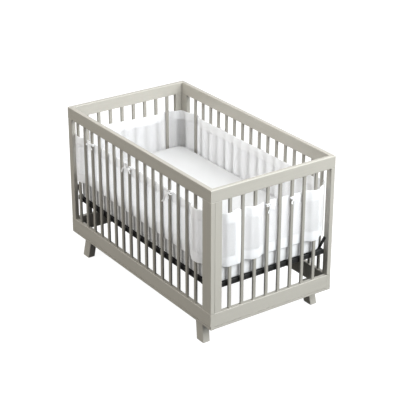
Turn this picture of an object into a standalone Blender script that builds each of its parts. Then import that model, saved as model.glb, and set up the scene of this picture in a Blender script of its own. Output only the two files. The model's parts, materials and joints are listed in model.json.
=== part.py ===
"""A slatted crib with its mattress and a breathable mesh liner woven through the slats.

Metres, +Z up. The origin is on the floor, under the middle of the crib. The long sides
run along X, with the front at -Y, and the ends stand at -X and +X. The back is the front
turned half a turn about Z, and the left end is the right end turned the same way.
"""

import math

import bmesh
import bpy
from mathutils import Matrix, Vector

# The crib's outside sizes
LENGTH = 1.365
WIDTH = 0.760
HEIGHT = 0.872
FOOT_HEIGHT = 0.117

# Frame timbers
FRAME = 0.024  # thickness of every rail and stile
TOP_RAIL = 0.066  # height
BOTTOM_RAIL = 0.088  # height, with its plinth
PLINTH = 0.014  # height of the strip under the groove
GROOVE = 0.003  # depth and height of the groove over the plinth
WIDE_STILE = 0.073  # long sides, the right end of the front and the left end of the back
NARROW_STILE = 0.038  # long sides, the other ends
END_STILE = 0.042  # ends, beside each wide stile

# Slats
SLAT_WIDTH = 0.019
SLAT_DEPTH = 0.013
SLAT_PITCH = 0.0755
SLAT_TENON = 0.008  # how far a slat goes into the bottom rail
SIDE_SLATS = 16
END_SLATS = 8
SIDE_SHIFT = -0.030  # from the middle of a long side to the middle of its slats
END_SHIFT = 0.004

# Feet
FOOT = Vector((0.060, 0.042, 0.0))
FOOT_INSET = Vector((0.105, 0.022, 0.0))  # from the corner of the frame to the foot's top
FOOT_SPLAY = Vector((0.022, 0.008, 0.0))  # how far the foot's floor end leans out

# Mattress and what carries it
MATTRESS_LENGTH = 1.300
MATTRESS_WIDTH = 0.695
MATTRESS_BASE = 0.347
MATTRESS_HEIGHT = 0.150
MATTRESS_CORNER = 0.055
MATTRESS_EDGE = 0.012
CARRIER_HEIGHT = 0.027
CARRIER_DEPTH = 0.015
DECK = 0.005
STRAP_THICKNESS = 0.004
STRAP_WIDTH = 0.018
STRAP_RISE = 0.094
STRAP_LEAN = 0.048

# Liner
LINER_TOP = 0.722
LINER_BOTTOM = 0.440
BINDING = 0.052  # height of the bindings
END_BAND = 0.036  # width of the bands that fasten the panels' ends
MESH_THICKNESS = 0.002
BINDING_THICKNESS = 0.003
INSIDE = 0.0222  # from the frame's outer face to the liner, inside the slats
OUTSIDE = 0.0015  # and outside them
BEHIND_STILE = 0.0278  # and inside the stiles
CORNER_RADIUS = 0.030
SLAT_CLEAR = 0.0135  # from a slat's middle to where the liner may start to cross
STILE_CLEAR = 0.003
CROSSING_STEPS = 5
CORNER_STEPS = 5

# Ties
RIBBON = 0.008
RIBBON_THICKNESS = 0.0012
TIE_DROP = 0.011  # from the liner's top edge to a tie's middle
KNOT = Vector((0.011, 0.0075, 0.011))  # along the side, out of it, and up
LOOP_WIDTH = 0.0068  # how far a bow loop's ribbon stands out from the slat
LOOP_SPREAD = 0.21  # half-height of a bow loop as a share of its length

GAP = 0.0003  # between pieces that meet

TOP_RAIL_BASE = HEIGHT - TOP_RAIL
BOTTOM_RAIL_TOP = FOOT_HEIGHT + BOTTOM_RAIL
HALF_TURN = Matrix.Rotation(math.pi, 4, "Z")

# How far the liner's edges lie above their nominal height, by its place round the crib:
# (corner that starts the side, rise of the top edge, rise of the bottom edge)
RISES = {
    "left_corner": (0.006, 0.018),
    "near_corner": (0.008, 0.001),
    "right_corner": (-0.010, -0.010),
    "far_corner": (-0.016, -0.010),
}
AROUND = ("left_corner", "near_corner", "right_corner", "far_corner")

# Soft folds: (side, place along it, half-width, depth into the crib at mid-height)
FOLDS = (
    ("front", -0.430, 0.060, 0.0030),
    ("front", -0.120, 0.085, 0.0042),
    ("front", 0.190, 0.070, 0.0030),
    ("front", 0.430, 0.050, 0.0022),
    ("right", 0.080, 0.055, 0.0028),
    ("back", -0.440, 0.050, 0.0045),
    ("back", -0.270, 0.045, 0.0050),
    ("back", 0.060, 0.110, 0.0040),
    ("back", 0.330, 0.080, 0.0035),
    ("left", -0.110, 0.060, 0.0040),
    ("left", 0.090, 0.070, 0.0045),
)

# Ties: (side, slat, how far the knot sits along and above its usual place, angle and
# length of each loop, angle and length of each free end)
TIES = (
    ("front", 2, (0.000, 0.011), ((10, 0.040), (190, 0.042)), ((-134, 0.043), (-66, 0.028))),
    ("front", 7, (-0.010, 0.007), ((14, 0.054), (102, 0.024)), ((-145, 0.062), (-36, 0.038))),
    ("front", 12, (-0.010, 0.010), ((13, 0.058), (142, 0.028)), ((-127, 0.078), (-66, 0.034))),
    ("right", 3, (0.013, 0.000), ((-14, 0.032), (190, 0.028)), ((-112, 0.044), (-58, 0.036))),
    ("right", 5, (0.013, 0.002), ((10, 0.030), (172, 0.030)), ((-125, 0.034), (-74, 0.046))),
    ("back", 2, (0.002, 0.002), ((-8, 0.042), (184, 0.038)), ((-120, 0.044), (-66, 0.048))),
    ("back", 7, (-0.003, 0.000), ((12, 0.045), (163, 0.041)), ((-138, 0.051), (-50, 0.043))),
    ("back", 12, (0.004, 0.003), ((-12, 0.040), (176, 0.044)), ((-108, 0.046), (-48, 0.052))),
    ("left", 2, (0.003, 0.001), ((8, 0.036), (170, 0.034)), ((-122, 0.046), (-60, 0.042))),
    ("left", 5, (-0.002, 0.000), ((-10, 0.038), (182, 0.036)), ((-115, 0.044), (-50, 0.048))),
)

# Slats that the liner passes outside, by side
WOVEN = {
    "front": {0, SIDE_SLATS - 1},
    "right": {0, 2, END_SLATS - 1},
    "back": {0, SIDE_SLATS - 1},
    "left": {0, END_SLATS - 1},
}


def clear_scene():
    for obj in list(bpy.data.objects):
        bpy.data.objects.remove(obj, do_unlink=True)


def finish(name, color, roughness, metallic=0.0):
    """A plain material."""
    material = bpy.data.materials.new(name)
    material.use_nodes = True
    shader = material.node_tree.nodes["Principled BSDF"]
    shader.inputs["Base Color"].default_value = (*color, 1.0)
    shader.inputs["Roughness"].default_value = roughness
    shader.inputs["Metallic"].default_value = metallic
    return material


def add_object(name, shape, material):
    """A new object that holds the bmesh's shape, with its faces pointing out."""
    bmesh.ops.recalc_face_normals(shape, faces=shape.faces)
    mesh = bpy.data.meshes.new(name)
    shape.to_mesh(mesh)
    shape.free()
    mesh.materials.append(material)
    obj = bpy.data.objects.new(name, mesh)
    bpy.context.scene.collection.objects.link(obj)
    return obj


def add_block(shape, low, high):
    """Adds a box between two corners to the bmesh and returns its vertices."""
    low, high = Vector(low), Vector(high)
    verts = bmesh.ops.create_cube(shape, size=1.0)["verts"]
    size = high - low
    bmesh.ops.scale(shape, vec=size, verts=verts)
    bmesh.ops.translate(shape, vec=(low + high) / 2, verts=verts)
    return verts


def add_prism(shape, outline, along):
    """Extrudes a closed outline of points by the vector along."""
    face = shape.faces.new([shape.verts.new(point) for point in outline])
    made = bmesh.ops.extrude_face_region(shape, geom=[face])
    verts = [v for v in made["geom"] if isinstance(v, bmesh.types.BMVert)]
    bmesh.ops.translate(shape, vec=along, verts=verts)


def helper(name, shape, material):
    """A shape that only cuts or joins another."""
    obj = add_object(name, shape, material)
    obj.hide_render = True
    obj.display_type = "WIRE"
    return obj


def combine(obj, other, operation):
    modifier = obj.modifiers.new(operation.title(), "BOOLEAN")
    modifier.operation = operation
    modifier.solver = "EXACT"
    modifier.object = other


class Side:
    """One side of the crib, with s along it, d inward from its outer face and z up."""

    def __init__(self, name, half, outer, across, turned):
        self.name = name
        self.half = half
        self.outer = outer
        self.across = across  # True for an end, whose s runs along Y
        self.turned = turned
        count = END_SLATS if across else SIDE_SLATS
        shift = END_SHIFT if across else SIDE_SHIFT
        self.slats = [shift + (i - (count - 1) / 2) * SLAT_PITCH for i in range(count)]

    def point(self, s, d, z):
        place = (
            Vector((self.outer - d, s, z)) if self.across else Vector((s, d - self.outer, z))
        )
        return HALF_TURN @ place if self.turned else place

    def block(self, shape, low, high):
        """A box between two corners that are given as s, d and z."""
        add_block_between(shape, self.point(*low), self.point(*high))


SIDES = {
    "front": Side("front", LENGTH / 2, WIDTH / 2, False, False),
    "right": Side("right", WIDTH / 2, LENGTH / 2, True, False),
    "back": Side("back", LENGTH / 2, WIDTH / 2, False, True),
    "left": Side("left", WIDTH / 2, LENGTH / 2, True, True),
}
ORDER = ("front", "right", "back", "left")


def add_block_between(shape, a, b):
    low = Vector(map(min, a, b))
    high = Vector(map(max, a, b))
    return add_block(shape, low, high)


def rail_reach(side):
    """Where a side's bottom rail starts and ends: the ends' rails butt on the long ones."""
    trim = FRAME + GAP if side.across else 0.0
    return -side.half + trim, side.half - trim


def build_top_rail(side, paint):
    """A rail whose ends are mitred where they meet the next side's."""
    outer, inner = side.half - GAP, side.half - GAP - FRAME
    plan = ((-outer, 0.0), (outer, 0.0), (inner, FRAME), (-inner, FRAME))
    shape = bmesh.new()
    along = Vector((0.0, 0.0, TOP_RAIL))
    add_prism(shape, [side.point(s, d, TOP_RAIL_BASE) for s, d in plan], along)
    add_object(f"{side.name}_top_rail", shape, paint)


def build_slatted_rail(side, paint):
    """The bottom rail with its plinth groove, and the slats tenoned into it."""
    start, end = rail_reach(side)
    over_plinth = FOOT_HEIGHT + PLINTH
    section = (
        (0.0, FOOT_HEIGHT),
        (0.0, over_plinth),
        (GROOVE, over_plinth),
        (GROOVE, over_plinth + GROOVE),
        (0.0, over_plinth + GROOVE),
        (0.0, BOTTOM_RAIL_TOP),
        (FRAME, BOTTOM_RAIL_TOP),
        (FRAME, FOOT_HEIGHT),
    )
    shape = bmesh.new()
    along = side.point(end, 0.0, 0.0) - side.point(start, 0.0, 0.0)
    add_prism(shape, [side.point(start, d, z) for d, z in section], along)
    rail = add_object(f"{side.name}_slatted_rail", shape, paint)
    slats = bmesh.new()
    outer_face = (FRAME - SLAT_DEPTH) / 2
    for middle in side.slats:
        side.block(
            slats,
            (middle - SLAT_WIDTH / 2, outer_face, BOTTOM_RAIL_TOP - SLAT_TENON),
            (middle + SLAT_WIDTH / 2, outer_face + SLAT_DEPTH, TOP_RAIL_BASE - GAP),
        )
    combine(rail, helper(f"{side.name}_slat_set", slats, paint), "UNION")


def build_stiles(paint):
    low, high = BOTTOM_RAIL_TOP + GAP, TOP_RAIL_BASE - GAP
    for name in ("front", "back"):
        side = SIDES[name]
        shape = bmesh.new()
        side.block(shape, (side.half - WIDE_STILE, 0.0, low), (side.half, FRAME, high))
        add_object(f"{name}_wide_stile", shape, paint)
        shape = bmesh.new()
        side.block(shape, (-side.half, 0.0, low), (NARROW_STILE - side.half, FRAME, high))
        add_object(f"{name}_narrow_stile", shape, paint)
    for name in ("right", "left"):
        side = SIDES[name]
        start = -side.half + FRAME + GAP
        shape = bmesh.new()
        side.block(shape, (start, 0.0, low), (start + END_STILE, FRAME, high))
        add_object(f"{name}_end_stile", shape, paint)


def build_feet(paint):
    """Four blocks that lean out towards the floor."""
    for across in (-1, 1):
        for along in (-1, 1):
            outward = Vector((along, across, 0.0))
            corner = Vector((LENGTH / 2, WIDTH / 2, 0.0)) - FOOT_INSET
            outline = []
            for x, y in ((0, 0), (1, 0), (1, 1), (0, 1)):
                place = corner - Vector((x * FOOT.x, y * FOOT.y, 0.0))
                outline.append(Vector((place.x * outward.x, place.y * outward.y, 0.0)))
            lean = Vector((FOOT_SPLAY.x * outward.x, FOOT_SPLAY.y * outward.y, 0.0))
            shape = bmesh.new()
            rise = Vector((0.0, 0.0, FOOT_HEIGHT - GAP)) - lean
            add_prism(shape, [point + lean for point in outline], rise)
            row = "front" if across < 0 else "back"
            end = "left" if along < 0 else "right"
            add_object(f"foot_{row}_{end}", shape, paint)


def rounded_rectangle(length, width, radius, steps, z):
    """Points round a rectangle with round corners, anticlockwise."""
    points = []
    centre = Vector((length / 2 - radius, width / 2 - radius, 0.0))
    for quarter, (x, y) in enumerate(((1, 1), (-1, 1), (-1, -1), (1, -1))):
        for step in range(steps + 1):
            angle = math.radians(90) * (quarter + step / steps)
            arm = Vector((math.cos(angle), math.sin(angle), 0.0)) * radius
            points.append(Vector((x * centre.x, y * centre.y, z)) + arm)
    return points


def build_mattress(ticking):
    """A block with round corners, its edges eased at the top and the bottom."""
    shape = bmesh.new()
    levels = (
        (0.0, MATTRESS_EDGE),
        (MATTRESS_EDGE, 0.0),
        (MATTRESS_HEIGHT - MATTRESS_EDGE, 0.0),
        (MATTRESS_HEIGHT, MATTRESS_EDGE),
    )
    rings = []
    for height, inset in levels:
        points = rounded_rectangle(
            MATTRESS_LENGTH - 2 * inset,
            MATTRESS_WIDTH - 2 * inset,
            MATTRESS_CORNER - inset,
            5,
            MATTRESS_BASE + GAP + height,
        )
        rings.append([shape.verts.new(point) for point in points])
    for lower, upper in zip(rings, rings[1:]):
        for i in range(len(lower)):
            j = (i + 1) % len(lower)
            shape.faces.new((lower[i], lower[j], upper[j], upper[i]))
    shape.faces.new(reversed(rings[0]))
    shape.faces.new(rings[-1])
    add_object("mattress", shape, ticking)


def build_carrier(steel):
    """The steel bars and deck under the mattress, and the straps that hang them."""
    top = MATTRESS_BASE
    base = top - CARRIER_HEIGHT
    long_reach = LENGTH / 2 - FRAME - STRAP_THICKNESS - 2 * GAP
    wide_reach = WIDTH / 2 - FRAME - STRAP_THICKNESS - 2 * GAP
    inner_long = long_reach - CARRIER_DEPTH
    inner_wide = wide_reach - CARRIER_DEPTH
    for name, sign in (("front", -1), ("back", 1)):
        shape = bmesh.new()
        add_block_between(
            shape,
            (-long_reach, sign * inner_wide, base),
            (long_reach, sign * wide_reach, top),
        )
        add_object(f"carrier_{name}_bar", shape, steel)
    for name, sign in (("left", -1), ("right", 1)):
        shape = bmesh.new()
        add_block_between(
            shape,
            (sign * inner_long, -inner_wide + GAP, base),
            (sign * long_reach, inner_wide - GAP, top),
        )
        add_object(f"carrier_{name}_bar", shape, steel)
    shape = bmesh.new()
    add_block_between(
        shape,
        (-inner_long + GAP, -inner_wide + GAP, top - DECK),
        (inner_long - GAP, inner_wide - GAP, top),
    )
    add_object("carrier_deck", shape, steel)
    for name in ("front", "back"):
        side = SIDES[name]
        for end, sign, stile in (("narrow", -1, NARROW_STILE), ("wide", 1, WIDE_STILE)):
            upper = sign * (side.half - stile + STRAP_WIDTH * 0.6)
            lower = upper - sign * STRAP_LEAN
            width = sign * STRAP_WIDTH / 2
            near = FRAME + GAP
            foot = base + 0.003
            outline = [
                side.point(s, near, z)
                for s, z in (
                    (lower - width, foot),
                    (lower + width, foot),
                    (upper + width, foot + STRAP_RISE),
                    (upper - width, foot + STRAP_RISE),
                )
            ]
            shape = bmesh.new()
            through = side.point(0.0, STRAP_THICKNESS, 0.0) - side.point(0.0, 0.0, 0.0)
            add_prism(shape, outline, through)
            add_object(f"carrier_strap_{name}_{end}", shape, steel)


class Route:
    """The liner's way round the crib in plan: (side or corner, s, point, way inward)."""

    def __init__(self):
        self.points = []
        self.inward = []
        self.places = []

    def add(self, side, s, d, place):
        here = side.point(s, d, 0.0)
        if self.points and (here - self.points[-1]).length < 0.001:
            return
        self.points.append(here)
        self.places.append((side.name, s, place))

    def cross(self, side, s_from, d_from, s_to, d_to, place):
        """An S-shaped way from one depth to another, between two slats."""
        for step in range(CROSSING_STEPS + 1):
            part = step / CROSSING_STEPS
            ease = (1 - math.cos(math.pi * part)) / 2
            self.add(
                side, s_from + part * (s_to - s_from), d_from + ease * (d_to - d_from), place
            )


def side_depth(name, slat):
    return OUTSIDE if slat in WOVEN[name] else INSIDE


def add_side(route, name, first, last):
    """The stretch past slats first to last of a side."""
    side = SIDES[name]
    for slat in range(first, last + 1):
        middle, depth = side.slats[slat], side_depth(name, slat)
        after = side_depth(name, slat + 1) if slat < last else depth
        before = side_depth(name, slat - 1) if slat > first else depth
        level = depth == after == before
        for reach in (0.0,) if level and depth == INSIDE else (-SLAT_CLEAR, SLAT_CLEAR):
            route.add(side, middle + reach, depth, name)
        if slat == last:
            break
        if depth == after:
            route.add(side, middle + SLAT_PITCH / 2, depth, name)
        else:
            route.cross(
                side,
                middle + SLAT_CLEAR,
                depth,
                side.slats[slat + 1] - SLAT_CLEAR,
                after,
                name,
            )


def add_corner(route, name, following):
    """From outside the last slat of a side, round inside the post, to outside the next."""
    side, after = SIDES[name], SIDES[following]
    stile = 0.0 if side.across else WIDE_STILE
    bend_start = side.half - BEHIND_STILE - CORNER_RADIUS
    cross_end = min(bend_start, side.half - stile - STILE_CLEAR)
    last = side.slats[-1] + SLAT_CLEAR
    route.cross(side, last, OUTSIDE, cross_end, BEHIND_STILE, name)
    centre = BEHIND_STILE + CORNER_RADIUS
    for step in range(CORNER_STEPS + 1):
        angle = math.radians(90) * step / CORNER_STEPS
        along = centre - CORNER_RADIUS * math.sin(angle)
        depth = centre - CORNER_RADIUS * math.cos(angle)
        route.add(side, side.half - along, depth, f"{name}_{following}")
    stile = FRAME + GAP + END_STILE if after.across else NARROW_STILE
    cross_start = max(centre, stile + STILE_CLEAR) - after.half
    first = after.slats[0] - SLAT_CLEAR
    route.cross(after, cross_start, BEHIND_STILE, first, OUTSIDE, following)


def front_route():
    """From the left end's last slat, round the front, to just short of the right's second."""
    route = Route()
    left, right = SIDES["left"], SIDES["right"]
    start = left.slats[-2] + SLAT_WIDTH / 2 + 0.004
    route.cross(left, start, 0.0065, left.slats[-1] - SLAT_CLEAR, OUTSIDE, "left")
    route.add(left, left.slats[-1] + SLAT_CLEAR, OUTSIDE, "left")
    add_corner(route, "left", "front")
    add_side(route, "front", 0, SIDE_SLATS - 1)
    add_corner(route, "front", "right")
    route.add(right, right.slats[0] + SLAT_CLEAR, OUTSIDE, "right")
    end = right.slats[1] - SLAT_WIDTH / 2 - 0.004
    route.cross(right, right.slats[0] + SLAT_CLEAR, OUTSIDE, end, 0.0065, "right")
    return route


def wrap_route():
    """From behind the right end's second slat, round the back, to the left end."""
    route = Route()
    right, left = SIDES["right"], SIDES["left"]
    start = right.slats[0] + SLAT_WIDTH / 2 + 0.012
    route.cross(right, start, 0.0125, right.slats[1] - SLAT_CLEAR, INSIDE, "right")
    add_side(route, "right", 1, END_SLATS - 1)
    add_corner(route, "right", "back")
    add_side(route, "back", 0, SIDE_SLATS - 1)
    add_corner(route, "back", "left")
    add_side(route, "left", 0, END_SLATS - 2)
    end = left.slats[-1] - SLAT_WIDTH / 2 - 0.012
    route.cross(left, left.slats[-2] + SLAT_CLEAR, INSIDE, end, 0.0125, "left")
    return route


def lengths_along(points):
    total, out = 0.0, [0.0]
    for a, b in zip(points, points[1:]):
        total += (b - a).length
        out.append(total)
    return out


def inward_at(points, i):
    """The level unit vector into the crib, square to the route."""
    a, b = points[max(i - 1, 0)], points[min(i + 1, len(points) - 1)]
    along = (b - a).normalized()
    return Vector((-along.y, along.x, 0.0))


def fold_depth(name, s, height):
    """How far the cloth is pushed into the crib; height is 0 at its bottom and 1 at its top."""
    depth = 0.0
    for side, middle, reach, most in FOLDS:
        off = abs(s - middle) / reach
        if side == name and off < 1.0:
            depth += most * (1 + math.cos(math.pi * off)) / 2
    return depth * math.sin(math.pi * height)


def edge_rises(name, s):
    """The rise of the top and the bottom edge at a place, eased between the corners."""
    start = AROUND[ORDER.index(name)]
    end = AROUND[(ORDER.index(name) + 1) % len(AROUND)]
    part = min(max((s / SIDES[name].half + 1) / 2, 0.0), 1.0)
    ease = (1 - math.cos(math.pi * part)) / 2
    return [a + ease * (b - a) for a, b in zip(RISES[start], RISES[end])]


def liner_point(route, i, share, along_side):
    """A place on the liner; share is 0 at its bottom edge and 1 at its top."""
    name, s, _ = route.places[i]
    top, bottom = edge_rises(name, s)
    height = LINER_TOP - LINER_BOTTOM
    z = LINER_BOTTOM + bottom + share * (height + top - bottom)
    inward = inward_at(route.points, i)
    return along_side + inward * fold_depth(name, s, share) + Vector((0.0, 0.0, z))


def stretch(route, start, end):
    """The route between two lengths along it, as (index, point) with exact ends."""
    lengths = lengths_along(route.points)
    out = []
    for i, here in enumerate(lengths):
        if start + 0.0004 < here < end - 0.0004:
            out.append((i, route.points[i]))
    ends = []
    for at in (start, end):
        i = max(k for k, here in enumerate(lengths[:-1]) if here <= at + 1e-9)
        part = (at - lengths[i]) / (lengths[i + 1] - lengths[i])
        nearest = i + 1 if part > 0.5 else i
        ends.append((nearest, route.points[i].lerp(route.points[i + 1], part)))
    return [ends[0], *out, ends[1]]


def build_band(name, route, start, end, shares, thickness, material):
    """A strip of the liner between two lengths along it and a few heights."""
    shape = bmesh.new()
    pieces = stretch(route, start, end)
    rows = [
        [shape.verts.new(liner_point(route, i, share, at)) for i, at in pieces]
        for share in shares
    ]
    for lower, upper in zip(rows, rows[1:]):
        for k in range(len(lower) - 1):
            shape.faces.new((lower[k], lower[k + 1], upper[k + 1], upper[k]))
    mesh = bpy.data.meshes.new(name)
    shape.to_mesh(mesh)
    shape.free()
    mesh.materials.append(material)
    obj = bpy.data.objects.new(name, mesh)
    bpy.context.scene.collection.objects.link(obj)
    solid = obj.modifiers.new("Thickness", "SOLIDIFY")
    solid.thickness = thickness
    solid.offset = 0.0
    solid.use_even_offset = True


def build_panel(name, route, mesh_cloth, trim_cloth):
    """A panel: a mesh field, a binding above and below it, and a band at each end."""
    total = lengths_along(route.points)[-1]
    height = LINER_TOP - LINER_BOTTOM
    low, high, space = BINDING / height, 1 - BINDING / height, GAP / height
    start, end = END_BAND, total - END_BAND
    field = [low + space + k / 3 * (high - low - 2 * space) for k in range(4)]
    build_band(f"{name}_mesh", route, start, end, field, MESH_THICKNESS, mesh_cloth)
    for edge, shares in (("bottom", (0.0, low)), ("top", (high, 1.0))):
        build_band(
            f"{name}_{edge}_binding", route, start, end, shares, BINDING_THICKNESS, trim_cloth
        )
    whole = (0.0, low, 0.5, high, 1.0)
    for which, a, b in (("first", 0.0, start - GAP), ("second", end + GAP, total)):
        build_band(f"{name}_{which}_end_band", route, a, b, whole, BINDING_THICKNESS, trim_cloth)


def add_ribbon(shape, side, middle, depth, height, angle, length, width):
    """A flat strip that starts at a tie's knot and runs at an angle in the side's plane."""
    direction = Vector((math.cos(math.radians(angle)), 0.0, math.sin(math.radians(angle))))
    square = Vector((-direction.z, 0.0, direction.x)) * width / 2
    outline = []
    for along, sign in ((0.0, -1), (length, -1), (length, 1), (0.0, 1)):
        place = direction * along + square * sign
        outline.append(side.point(middle + place.x, depth, height + place.z))
    through = side.point(0.0, -RIBBON_THICKNESS * 2, 0.0) - side.point(0.0, 0.0, 0.0)
    add_prism(shape, outline, through)


def add_loop(shape, side, middle, depth, height, angle, length):
    """A ribbon bent round into a drop-shaped loop, standing on edge."""
    turn = math.radians(angle)
    steps = 18
    path = []
    for step in range(steps):
        around = 2 * math.pi * step / steps
        reach = length / 2 * (1 - math.cos(around))
        spread = LOOP_SPREAD * length * math.sin(around) * (0.35 + 0.65 * reach / length)
        path.append(
            Vector(
                (
                    reach * math.cos(turn) - spread * math.sin(turn),
                    reach * math.sin(turn) + spread * math.cos(turn),
                )
            )
        )
    rings = []
    for k, here in enumerate(path):
        run = (path[(k + 1) % steps] - path[k - 1]).normalized()
        square = Vector((-run.y, run.x)) * RIBBON_THICKNESS / 2
        corners = ((here - square, 0.0), (here + square, 0.0))
        corners += ((here + square, -LOOP_WIDTH), (here - square, -LOOP_WIDTH))
        rings.append(
            [
                shape.verts.new(side.point(middle + spot.x, depth + out, height + spot.y))
                for spot, out in corners
            ]
        )
    for k, ring in enumerate(rings):
        after = rings[(k + 1) % steps]
        for a in range(4):
            b = (a + 1) % 4
            shape.faces.new((ring[a], ring[b], after[b], after[a]))
    bmesh.ops.recalc_face_normals(shape, faces=shape.faces)


def build_tie(number, row, cloth):
    """A ribbon round a slat, tied in a bow outside it."""
    side_name, slat, (aside, above), loops, tails = row
    side = SIDES[side_name]
    middle = side.slats[slat]
    height = LINER_TOP + edge_rises(side_name, middle)[0] - TIE_DROP + above
    near = (FRAME - SLAT_DEPTH) / 2
    clear = 0.0004
    wrap = bmesh.new()
    half = SLAT_WIDTH / 2 + clear
    side.block(
        wrap,
        (middle - half - RIBBON_THICKNESS, near - clear - RIBBON_THICKNESS, height - RIBBON / 2),
        (
            middle + half + RIBBON_THICKNESS,
            near + SLAT_DEPTH + clear + RIBBON_THICKNESS,
            height + RIBBON / 2,
        ),
    )
    tie = add_object(f"tie_{number:02d}_{side_name}", wrap, cloth)
    hole = bmesh.new()
    side.block(
        hole,
        (middle - half, near - clear, height - RIBBON),
        (middle + half, near + SLAT_DEPTH + clear, height + RIBBON),
    )
    combine(tie, helper(f"tie_{number:02d}_hole", hole, cloth), "DIFFERENCE")
    face, bow = near - clear - RIBBON_THICKNESS / 2, middle + aside
    knot = bmesh.new()
    side.block(
        knot,
        (bow - KNOT.x / 2, face - KNOT.y, height - KNOT.z / 2),
        (bow + KNOT.x / 2, face, height + KNOT.z / 2),
    )
    combine(tie, helper(f"tie_{number:02d}_knot", knot, cloth), "UNION")
    for k, (angle, length) in enumerate(loops):
        shape = bmesh.new()
        add_loop(shape, side, bow, face - 0.0003 - 0.0003 * k, height, angle, length)
        combine(tie, helper(f"tie_{number:02d}_loop_{k}", shape, cloth), "UNION")
    for k, (angle, length) in enumerate(tails):
        shape = bmesh.new()
        add_ribbon(shape, side, bow, face - 0.0011 - 0.0006 * k, height, angle, length, RIBBON)
        combine(tie, helper(f"tie_{number:02d}_tail_{k}", shape, cloth), "UNION")


def main():
    clear_scene()
    paint = finish("satin_paint", (0.44, 0.42, 0.38), 0.38)
    ticking = finish("mattress_ticking", (0.84, 0.84, 0.82), 0.85)
    steel = finish("black_steel", (0.012, 0.012, 0.012), 0.45)
    mesh_cloth = finish("liner_mesh", (0.86, 0.86, 0.87), 0.9)
    trim_cloth = finish("liner_trim", (0.90, 0.90, 0.91), 0.75)
    ribbon = finish("tie_ribbon", (0.92, 0.92, 0.93), 0.5)
    for name in ORDER:
        build_top_rail(SIDES[name], paint)
        build_slatted_rail(SIDES[name], paint)
    build_stiles(paint)
    build_feet(paint)
    build_mattress(ticking)
    build_carrier(steel)
    build_panel("front_panel", front_route(), mesh_cloth, trim_cloth)
    build_panel("wrap_panel", wrap_route(), mesh_cloth, trim_cloth)
    for number, row in enumerate(TIES, start=1):
        build_tie(number, row, ribbon)


main()
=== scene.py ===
"""Draws a slatted crib with a breathable mesh liner woven through its slats.

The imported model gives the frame. Each operator below adds one piece, or one group of like
pieces, over it. Metres, +Z up, with the front long side at -Y.
"""

import json
import math

import bmesh
import bpy
from bpy.props import FloatProperty, FloatVectorProperty, PointerProperty
from mathutils import Matrix, Vector, noise

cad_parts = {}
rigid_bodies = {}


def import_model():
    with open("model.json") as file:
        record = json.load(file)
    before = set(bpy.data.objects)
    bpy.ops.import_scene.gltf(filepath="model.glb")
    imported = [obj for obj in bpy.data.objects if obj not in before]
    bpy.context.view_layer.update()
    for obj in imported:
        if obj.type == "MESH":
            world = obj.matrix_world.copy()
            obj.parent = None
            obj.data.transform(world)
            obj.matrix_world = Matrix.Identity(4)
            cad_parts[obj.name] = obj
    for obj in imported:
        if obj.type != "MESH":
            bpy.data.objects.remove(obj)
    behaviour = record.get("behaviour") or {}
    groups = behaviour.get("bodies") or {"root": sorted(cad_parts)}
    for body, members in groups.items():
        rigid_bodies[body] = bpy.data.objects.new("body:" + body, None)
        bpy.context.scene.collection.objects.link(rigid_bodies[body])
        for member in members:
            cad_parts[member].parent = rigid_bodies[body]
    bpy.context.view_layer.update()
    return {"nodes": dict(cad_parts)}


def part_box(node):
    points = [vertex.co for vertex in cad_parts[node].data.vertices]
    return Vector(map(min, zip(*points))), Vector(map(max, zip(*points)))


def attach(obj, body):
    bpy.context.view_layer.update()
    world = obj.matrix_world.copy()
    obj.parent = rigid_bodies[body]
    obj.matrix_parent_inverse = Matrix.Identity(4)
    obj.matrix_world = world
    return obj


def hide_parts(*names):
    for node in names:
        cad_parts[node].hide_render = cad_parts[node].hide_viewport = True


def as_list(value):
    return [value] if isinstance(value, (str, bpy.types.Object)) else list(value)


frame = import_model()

bl_info = {
    "name": "Crib with Mesh Liner",
    "version": (1, 0, 0),
    "blender": (4, 5, 0),
    "location": "3D View > Sidebar > Crib",
    "description": "Adds a slatted crib, its mattress and a breathable liner tied to its slats",
    "category": "Add Mesh",
}

# The frame's own sizes, which the fabric is fitted to
OUTER_LOW, OUTER_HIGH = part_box("front_top_rail")
LENGTH = OUTER_HIGH.x - OUTER_LOW.x + 0.0006
WIDTH = -2 * OUTER_LOW.y
HEIGHT = OUTER_HIGH.z
FRAME = OUTER_HIGH.y - OUTER_LOW.y
TOP_RAIL_BASE = OUTER_LOW.z
BOTTOM_RAIL = 0.088
PLINTH = 0.014
GROOVE = 0.003
LOOP_SPREAD = 0.21
FOOT_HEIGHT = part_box("front_slatted_rail")[0].z
WIDE_STILE = 0.073
NARROW_STILE = 0.038
END_STILE = 0.042
SIDE_SLATS = 16
END_SLATS = 8
SIDE_SHIFT = -0.030
END_SHIFT = 0.004
MATTRESS_EDGE = 0.016
MATTRESS_CORNER = 0.055

# Where the liner runs: depths from the frame's outer face
INSIDE = 0.0222
OUTSIDE = 0.0015
BEHIND_STILE = 0.0278
CORNER_RADIUS = 0.030
SLAT_CLEAR = 0.0135
STILE_CLEAR = 0.003
LINER_TOP = 0.722
LINER_BOTTOM = 0.440
CROSSING_STEPS = 16
CORNER_STEPS = 16
CLOTH_STEP = 0.005

AROUND = ("left_corner", "near_corner", "right_corner", "far_corner")
ORDER = ("front", "right", "back", "left")
ALONG_GRAIN = {"front": "x", "back": "x", "right": "y", "left": "y"}
HALF_TURN = Matrix.Rotation(math.pi, 4, "Z")

# How far the liner's edges lie above their nominal height at each corner: (top, bottom)
RISES = {
    "left_corner": (0.006, 0.018),
    "near_corner": (0.008, 0.001),
    "right_corner": (-0.010, -0.010),
    "far_corner": (-0.016, -0.010),
}

# Slats that the liner passes outside, by side
WOVEN = {
    "front": {0, SIDE_SLATS - 1},
    "right": {0, 2, END_SLATS - 1},
    "back": {0, SIDE_SLATS - 1},
    "left": {0, END_SLATS - 1},
}

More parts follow.
